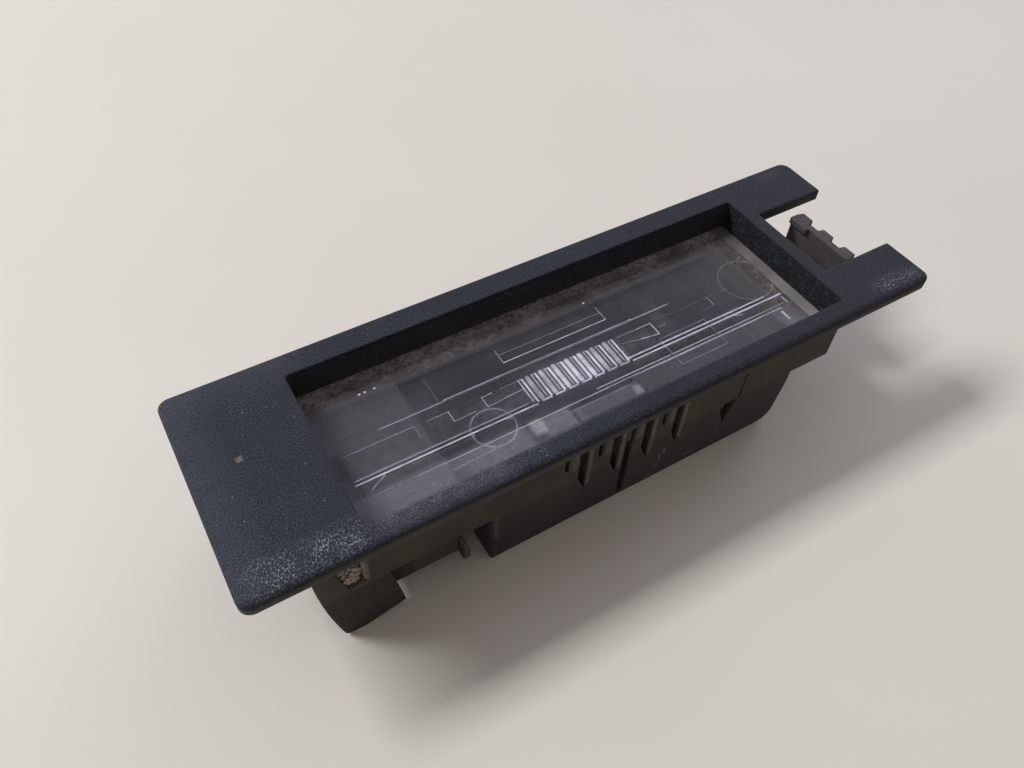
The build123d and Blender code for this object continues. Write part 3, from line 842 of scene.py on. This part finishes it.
    def relief(self, u: np.ndarray, v: np.ndarray) -> np.ndarray:
        """Height of the optics behind the plate at each grid point, the highest of all its features.

        A line's height follows half a cosine of the distance from it. The nearest point of a straight line is
        found by its share along the line, kept between 0 and 1. A prism bar rises evenly over prism_slope of
        the pitch and falls over the rest.

        Args:
            u: Places along the bezel, in mm.
            v: Places across the bezel, in mm.

        Returns:
            Heights in mm.
        """
        u, v = u - self.sight_shift[0], v - self.sight_shift[1]
        height = np.zeros_like(u)
        for line in self.lines():
            run = np.subtract(line.end, line.start)
            share = ((u - line.start[0]) * run[0] + (v - line.start[1]) * run[1]) / np.dot(run, run)
            share = np.clip(share, 0, 1)
            distance = np.hypot(u - line.start[0] - share * run[0], v - line.start[1] - share * run[1])
            height = np.maximum(height, line.rise * self.bump(distance, line.width))
        for ring in self.rings():
            distance = np.hypot(u - ring.middle[0], v - ring.middle[1]) - ring.radius
            height = np.maximum(height, ring.rise * self.bump(distance, ring.width))
        tooth = (u - self.prism_first) / self.prism_pitch + self.prism_slope
        inside = (tooth >= 0) & (tooth < self.prism_count)
        inside &= (v > self.prism_across[0]) & (v < self.prism_across[1])
        share = tooth - np.floor(tooth)
        bars = self.prism_rise * np.minimum(share / self.prism_slope, (1 - share) / (1 - self.prism_slope))
        return np.where(inside, np.maximum(height, bars), height)

    def bump(self, distance: np.ndarray, width: float) -> np.ndarray:
        """Half a cosine that is 1 on a line and 0 at its width from it."""
        return (1 + np.cos(np.pi * np.clip(np.abs(distance) / width, 0, 1))) / 2

    def build(self) -> bpy.types.Object:
        """Makes the closed plate: a fine grid behind, its sides and one flat face in front.

        The grid is finer over the prism bars. Rows near the long edges are drawn in so that the outline
        follows round corners: at a distance d from the edge and with a corner radius r, they are drawn in by
        r - sqrt(r^2 - (r - d)^2).

        Returns:
            The lens piece.
        """
        low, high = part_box("lens")
        left, right = (low.x - self.datum.low[0]) / MM, (high.x - self.datum.low[0]) / MM
        near, far = (low.y - self.datum.low[1]) / MM, (high.y - self.datum.low[1]) / MM
        fine = self.fine_along
        columns = np.concatenate([
            np.linspace(left, fine[0], round((fine[0] - left) / self.coarse_step), endpoint=False),
            np.linspace(fine[0], fine[1], round((fine[1] - fine[0]) / self.fine_step), endpoint=False),
            np.linspace(fine[1], right, round((right - fine[1]) / self.coarse_step) + 1),
        ])
        rows = np.linspace(near, far, round((far - near) / self.fine_step) + 1)
        u, v = np.meshgrid(columns, rows)
        edge = np.clip(np.minimum(v - near, far - v), 0, self.corner)
        inset = self.corner - np.sqrt(self.corner ** 2 - (self.corner - edge) ** 2)
        half = (right - left) / 2
        middle = (left + right) / 2
        outline_u = middle + (u - middle) * (half - inset) / half
        behind = self.front + self.thickness + self.relief(u, v)
        back = np.stack([self.datum.along(outline_u), self.datum.across(v), self.datum.behind(behind)], -1)
        number = np.arange(u.size).reshape(u.shape)
        quads = np.stack([number[:-1, :-1], number[1:, :-1], number[1:, 1:], number[:-1, 1:]], -1)
        rim = np.concatenate([number[0, :-1], number[:-1, -1], number[-1, :0:-1], number[:0:-1, 0]])
        points = back.reshape(-1, 3)
        front = points[rim].copy()
        front[:, 2] = self.datum.behind(self.front)
        top = len(points) + np.arange(len(rim))
        sides = np.stack([rim, np.roll(rim, -1), np.roll(top, -1), top], -1)
        faces = quads.reshape(-1, 4).tolist() + sides.tolist() + [top.tolist()]
        material = ClearAcrylic().make(self.datum, self.front, self.lines(), self.rings())
        return mesh_piece("lens_plate", np.concatenate([points, front]), faces, material,
                          ("lens",), smooth=False)


@dataclass(frozen=True)
class Bulb:
    """Festoon bulb: CAD glass and caps, and a wound filament."""

    turns: int = 18
    sides: int = 6
    steps_per_turn: int = 14
    wire: float = 0.07 * MM
    coil: float = 0.4 * MM
    # The coil's share of the filament's length, and the share of that in which it opens at each end.
    coil_share: float = 0.4
    opening: float = 0.1

    def dress(self) -> None:
        """Gives the glass and the caps their finishes."""
        dress("bulb_glass", DRAWN_GLASS.make())
        caps = TARNISHED_NICKEL.make()
        dress("bulb_cap_left", caps)
        dress("bulb_cap_right", caps)

    def build(self) -> bpy.types.Object:
        """Winds the filament: a round wire carried along a straight lead, a helix and a straight lead.

        Each point of the path is (x, r cos a, r sin a), with r and the angle a growing only over the coil.

        Returns:
            The filament piece.
        """
        low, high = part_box("bulb_filament")
        middle = (low + high) / 2
        half = (high.x - low.x) / 2
        t = np.linspace(-1, 1, self.turns * self.steps_per_turn * 2)
        wound = np.clip(t / self.coil_share, -1, 1)
        angle = np.pi * self.turns * wound
        opening = self.coil_share * self.opening
        radius = self.coil * np.clip((self.coil_share + opening - np.abs(t)) / opening, 0, 1)
        path = np.stack([half * t, radius * np.cos(angle), radius * np.sin(angle)], -1) + np.array(middle)
        tangent = np.gradient(path, axis=0)
        tangent /= np.linalg.norm(tangent, axis=1, keepdims=True)
        side = np.cross(tangent, (0, 0, 1))
        side /= np.linalg.norm(side, axis=1, keepdims=True)
        lift = np.cross(side, tangent)
        turn = np.linspace(0, 2 * np.pi, self.sides, endpoint=False)
        rings = path[:, None] + self.wire * (np.cos(turn)[None, :, None] * side[:, None]
                                             + np.sin(turn)[None, :, None] * lift[:, None])
        number = np.arange(len(path) * self.sides).reshape(len(path), self.sides)
        after = np.roll(number, -1, axis=1)
        quads = np.stack([number[:-1], after[:-1], after[1:], number[1:]], -1).reshape(-1, 4)
        faces = quads.tolist() + [number[0, ::-1].tolist(), number[-1].tolist()]
        return mesh_piece("filament_coil", rings.reshape(-1, 3), faces, DRAWN_TUNGSTEN.make(),
                          ("bulb_filament",))


@dataclass(frozen=True)
class NotchDust:
    """Clump of matted dust caught in the notch between the near hook and the skirt.

    Sizes are in millimetres from the datum. Each lump has a height, waves from pole to pole and their start,
    and waves round the ball and their start.
    """

    datum: Datum
    middle: Triple = (10.7, 2.95, 7.8)
    half: Triple = (1.3, 0.75, 1.7)
    floor: float = 9.6
    rows: int = 70
    columns: int = 110
    lumps: tuple[tuple[float, int, float, int, float], ...] = (
        (0.18, 4, 1.0, 3, 0.6),
        (0.16, 11, 2.0, 9, 1.9),
        (0.15, 23, 0.0, 19, 0.4),
    )

    def build(self) -> bpy.types.Object:
        """Makes a lumpy closed ball that sits on the notch's floor.

        A point at the angles a from the pole and b round it lies at the half sizes times
        (sin a cos b, sin a sin b, cos a), times a swell. The swell is 1 plus, for each lump, its height times
        a sine of a and a sine of b. What would lie below the floor is pressed flat on it.

        Returns:
            The clump.
        """
        a, b = np.meshgrid(np.linspace(0, np.pi, self.rows + 2)[1:-1],
                           np.linspace(0, 2 * np.pi, self.columns, endpoint=False), indexing="ij")
        swell = np.ones_like(a)
        for height, waves_a, start_a, waves_b, start_b in self.lumps:
            swell += height * np.sin(waves_a * a + start_a) * np.sin(waves_b * b + start_b)
        ball = np.stack([np.sin(a) * np.cos(b), np.sin(a) * np.sin(b), np.cos(a)], -1) * swell[..., None]
        ball = np.concatenate([ball.reshape(-1, 3), [(0, 0, 1), (0, 0, -1)]]) * self.half
        behind = np.minimum(self.middle[2] - ball[:, 2], self.floor)
        points = np.stack([self.datum.along(self.middle[0] + ball[:, 0]),
                           self.datum.across(self.middle[1] + ball[:, 1]), self.datum.behind(behind)], -1)
        number = np.arange(self.rows * self.columns).reshape(self.rows, self.columns)
        after = np.roll(number, -1, axis=1)
        quads = np.stack([number[:-1], number[1:], after[1:], after[:-1]], -1).reshape(-1, 4)
        top, foot = number.size, number.size + 1
        caps = np.concatenate([np.stack([np.full(self.columns, top), number[0], after[0]], -1),
                               np.stack([np.full(self.columns, foot), after[-1], number[-1]], -1)])
        faces = quads.tolist() + caps.tolist()
        return mesh_piece("notch_dust", points, faces, MATTED_DUST_PAINTED_PALER.make())


@dataclass(frozen=True)
class Studio:
    """Pale table, one long soft key light from the far left, a room that is darker on the near side, camera.

    Directions to the lights are X, Y and Z. The eye's place is along, across and behind the bezel, in mm, and
    right and up are the camera's own directions. Other sizes are in metres, and the focal length is in mm.
    """

    datum: Datum
    table_size: float = 2.0
    table: tuple[str, str] = ("dfdad3", "e6e1da")
    table_cloud: float = 40 * MM
    eye: Triple = (3.57, -38.34, -70.65)
    right: Triple = (0.8606, -0.5085, 0.0262)
    up: Triple = (0.3779, 0.6725, 0.6363)
    focal: float = 29.08
    sensor: float = 36.0
    key_from: Triple = (-15.0, 12.3, 18.7)
    key_distance: float = 1.6
    key_size: Pair = (0.89, 0.34)
    key_power: float = 24.3
    room_from: Triple = (0.4, 0.85, 0.3)
    room_warm: str = "ffe9d4"
    room_cool: str = "f0f3ff"
    room_dim: float = 0.18
    room_bright: float = 0.5
    window_from: Triple = (0.9, 0.44, 0.05)
    window_edge: float = 0.87
    window_bright: float = 4.0
    backdrop: str = "d5d6da"

    def build(self) -> None:
        """Sets up the floor, the light and the camera."""
        self.floor()
        self.key()
        self.room()
        self.camera()

    def floor(self) -> None:
        """Lays the table under the lamp."""
        # Pale laminate: a warm near-white with hardly any cloud in it and a dull shine.
        material = bpy.data.materials.new("laminate_pressed_pale")
        graph = Graph(material)
        place = graph.add("TexCoord").outputs["Object"]
        cloud = graph.add("TexNoise", {"Vector": place, "Scale": 1 / self.table_cloud, "Detail": 3.0})
        colour = graph.add("Mix", (cloud, *map(linear, self.table)), data_type="RGBA")
        shader = graph.add("BsdfPrincipled", {"Base Color": colour, "Roughness": 0.6})
        graph.add("OutputMaterial", {"Surface": shader})
        half = self.table_size / 2
        corners = [(-half, -half, 0), (half, -half, 0), (half, half, 0), (-half, half, 0)]
        mesh = bpy.data.meshes.new("table")
        mesh.from_pydata(corners, [], [[0, 1, 2, 3]])
        mesh.materials.append(material)
        table = bpy.data.objects.new("table", mesh)
        bpy.context.scene.collection.objects.link(table)

    def key(self) -> None:
        """Hangs one long soft lamp that faces straight down."""
        lamp = bpy.data.lights.new("key", "AREA")
        lamp.shape = "RECTANGLE"
        lamp.size, lamp.size_y = self.key_size
        lamp.energy = self.key_power
        key = bpy.data.objects.new("key", lamp)
        key.location = Vector(self.key_from).normalized() * self.key_distance
        bpy.context.scene.collection.objects.link(key)

    def room(self) -> None:
        """Lights the room from dim on one side to bright on the other, most from a low window on the right.

        The camera itself sees a pale backdrop, and so do the gloss of the plastic, the metal and the clear
        pieces.
        """
        world = bpy.data.worlds.new("room")
        graph = Graph(world)
        way = graph.add("TexCoord").outputs["Generated"]
        bright_side = Vector(self.room_from).normalized()
        side = graph.add("VectorMath", (way, bright_side), operation="DOT_PRODUCT")
        cool = graph.add("MapRange", (side, -1.0, 1.0, 0.0, 1.0))
        colour = graph.add("Mix", (cool, linear(self.room_warm), linear(self.room_cool)), data_type="RGBA")
        bright = graph.add("MapRange", (side, -0.7, 0.9, self.room_dim, self.room_bright))
        window = Vector(self.window_from).normalized()
        towards = graph.add("VectorMath", (way, window), operation="DOT_PRODUCT")
        shine = graph.add("MapRange", (towards, self.window_edge, 1.0, 0.0, self.window_bright))
        strength = graph.add("Math", (bright, shine), operation="ADD")
        light = graph.add("Background", (colour, strength))
        backdrop = graph.add("Background", (linear(self.backdrop), 1.0))
        path = graph.add("LightPath").outputs
        glossy, through = path["Is Glossy Ray"], path["Is Transmission Ray"]
        mirrored = graph.add("Math", (glossy, through), operation="MAXIMUM")
        seen = graph.add("Math", (path["Is Camera Ray"], mirrored), operation="MAXIMUM")
        shown = graph.add("MixShader", (seen, light, backdrop))
        graph.add("OutputWorld", {"Surface": shown})
        bpy.context.scene.world = world

    def camera(self) -> None:
        """Places the camera where the photograph was taken from."""
        camera = bpy.data.cameras.new("camera")
        camera.sensor_width = self.sensor
        camera.lens = self.focal
        camera.clip_start = 1 * MM
        eye = bpy.data.objects.new("camera", camera)
        right, up = Vector(self.right), Vector(self.up)
        turn = Matrix((right, up, right.cross(up))).transposed().to_4x4()
        eye.matrix_world = Matrix.Translation(self.datum.point(*self.eye)) @ turn
        bpy.context.scene.collection.objects.link(eye)
        bpy.context.scene.camera = eye


@dataclass(frozen=True)
class Mouldings:
    """Housing and rear cover, each with its own stains and scrapes.

    Dust lies beside each of the long slots in the near wall, on the notch behind the near hook and on the
    latch.
    Some marks are painted highlights, light and shade instead, as said at each. Places are in millimetres
    from the datum.
    """

    datum: Datum
    slot_count: int = 4
    first_slot: float = 39.28
    slot_pitch: float = 4.55
    rib_dust_and_highlight: str = "857e72"
    pale_dust_and_light: str = "b5a591"
    edge_highlight: str = "6f727e"
    scrape: str = "a39a8e"

    def ribs(self) -> list[Mark]:
        """Pale dust on the strips of wall at both sides of the near wall's long slots.

        Returns:
            The marks.
        """
        marks = []
        for i in range(self.slot_count):
            slot = self.first_slot + i * self.slot_pitch
            marks.append(Mark(slot + 0.95, 2.5, 8.2, (0.12, 2.5, 3.8), 0.28, 0.65, self.rib_dust_and_highlight))
            marks.append(Mark(slot - 1.15, 2.5, 6.0, (0.25, 2.5, 1.6), 0.35, 0.45, self.rib_dust_and_highlight))
        return marks

    def housing_marks(self) -> list[Mark]:
        """Stains and other marks of the bezel, the near hook and the latch, among them painted highlights,
        light and shade.

        Returns:
            The marks.
        """
        bezel = [
            Mark(5.5, 16.0, 0.0, (0.15, 0.15, 0.5), 0.35, 0.8, "94897b"),
            Mark(85.8, 26.3, 0.0, (1.2, 0.3, 0.6), 1.2, 0.22, "747468"),
            Mark(22.0, 2.4, 0.0, (6.0, 0.3, 0.3), 2.6, 0.24, "85838c"),
            Mark(62.0, 1.6, 0.5, (16.0, 1.6, 0.6), 3.0, 0.3, "17171c"),
            # Painted shade: a dark line where the near edge's rounding turns down, away from the light.
            Mark(45.0, 0.2, 0.45, (45.0, 0.15, 0.05), 0.22, 0.7, "0d0d0f"),
            Mark(76.0, 13.75, 0.0, (13.0, 13.0, 0.3), 4.0, 0.5, "2d2c2f"),
            # Painted highlight: a pale bluish band just inside the rounded left and far edges.
            Mark(1.0, 14.0, 0.0, (0.2, 12.5, 0.6), 4.0, 0.2, self.edge_highlight),
            Mark(7.0, 27.0, 0.0, (6.0, 0.2, 0.6), 4.0, 0.2, self.edge_highlight),
        ]
        hook = [
            # Pale dust and a painted highlight down the skirt's rounded left end.
            Mark(12.1, 3.0, 7.2, (0.1, 0.7, 1.8), 0.7, 0.75, self.pale_dust_and_light),
            # Pale dust on the notch's floor, with painted light that stands in for the lit table seen through
            # the notch.
            Mark(11.3, 3.6, 9.5, (0.7, 1.5, 0.1), 0.4, 0.6, "9c8c79"),
        ]
        latch = [Mark(85.0, 13.75, 5.0, (3.0, 7.0, 3.4), 0.5, 0.36, "716f78")]
        shroud = [
            Mark(12.0, 3.0, 14.8, (6.0, 2.0, 4.4), 0.4, 0.8, "22211d"),
            # Painted light: a pale patch at the lock bar's end, for the lit table that shows past it.
            Mark(24.6, 3.4, 15.2, (0.3, 0.8, 0.3), 0.6, 0.75, self.pale_dust_and_light),
        ]
        return bezel + hook + latch + shroud

    def bezel_scuffs(self) -> list[Patch]:
        """Scuffs at the near corner, along the near rail and on the near prong.

        Returns:
            The scuffs.
        """
        return [
            Patch(7.6, 2.0, 0.0, (4.6, 0.3, 1.0), 2.4, 0.85),
            Patch(24.0, 2.2, 0.0, (9.0, 0.3, 1.0), 1.4, 0.2),
            Patch(85.8, 2.0, 0.0, (3.0, 0.2, 1.0), 1.4, 0.48),
        ]

    def cover_marks(self) -> list[Mark]:
        """A line of scrapes down the near wall, a few more along its lower edge, and a painted highlight down
        the rounded near-left corner.

        Returns:
            The marks.
        """
        return [
            Mark(52.1, 2.0, 13.8, (0.05, 1.0, 0.35), 0.2, 0.7, self.scrape),
            Mark(51.6, 2.0, 15.0, (0.05, 1.0, 0.35), 0.2, 0.5, self.scrape),
            Mark(51.3, 2.0, 16.7, (0.08, 1.0, 0.2), 0.2, 0.5, self.scrape),
            Mark(50.6, 2.0, 18.2, (0.2, 1.0, 0.15), 0.25, 0.5, "8a6a5c"),
            Mark(56.9, 2.0, 17.8, (0.8, 1.0, 0.1), 0.3, 0.5, "857c70"),
            Mark(61.0, 2.0, 15.9, (0.05, 1.0, 0.15), 0.2, 0.8, self.scrape),
            # Painted highlight: a pale line down the cover's rounded near-left corner.
            Mark(27.9, 2.0, 12.0, (0.08, 1.0, 2.4), 0.3, 0.35, self.rib_dust_and_highlight),
        ]

    def dress(self) -> None:
        """Gives both pieces their finishes. The cover's plastic is darker and a little smoother."""
        housing = GrainedAbs("abs_moulded_spark_grain_weathered", tuple(self.housing_marks() + self.ribs()),
                             tuple(self.bezel_scuffs()))
        cover = GrainedAbs("abs_moulded_smooth_weathered", tuple(self.cover_marks() + self.ribs()),
                           black="17181b", brown="383430", roughness=0.6)
        dress("housing", housing.make(self.datum))
        dress("rear_cover", cover.make(self.datum))


def dress_contacts() -> None:
    """Dresses the two contact strips."""
    brass = OXIDISED_BRASS.make()
    dress("contact_left", brass)
    dress("contact_right", brass)


def main() -> None:
    """Builds and dresses the lamp, then the studio."""
    logging.basicConfig(level=logging.INFO, format="%(message)s")
    bpy.context.scene.view_settings.view_transform = "Standard"
    datum = Datum(tuple(cad_box[0]), tuple(cad_box[1]))
    Mouldings(datum).dress()
    dress_contacts()
    Lens(datum).build()
    bulb = Bulb()
    bulb.dress()
    bulb.build()
    NotchDust(datum).build()
    Studio(datum).build()


if __name__ == "__main__":
    main()
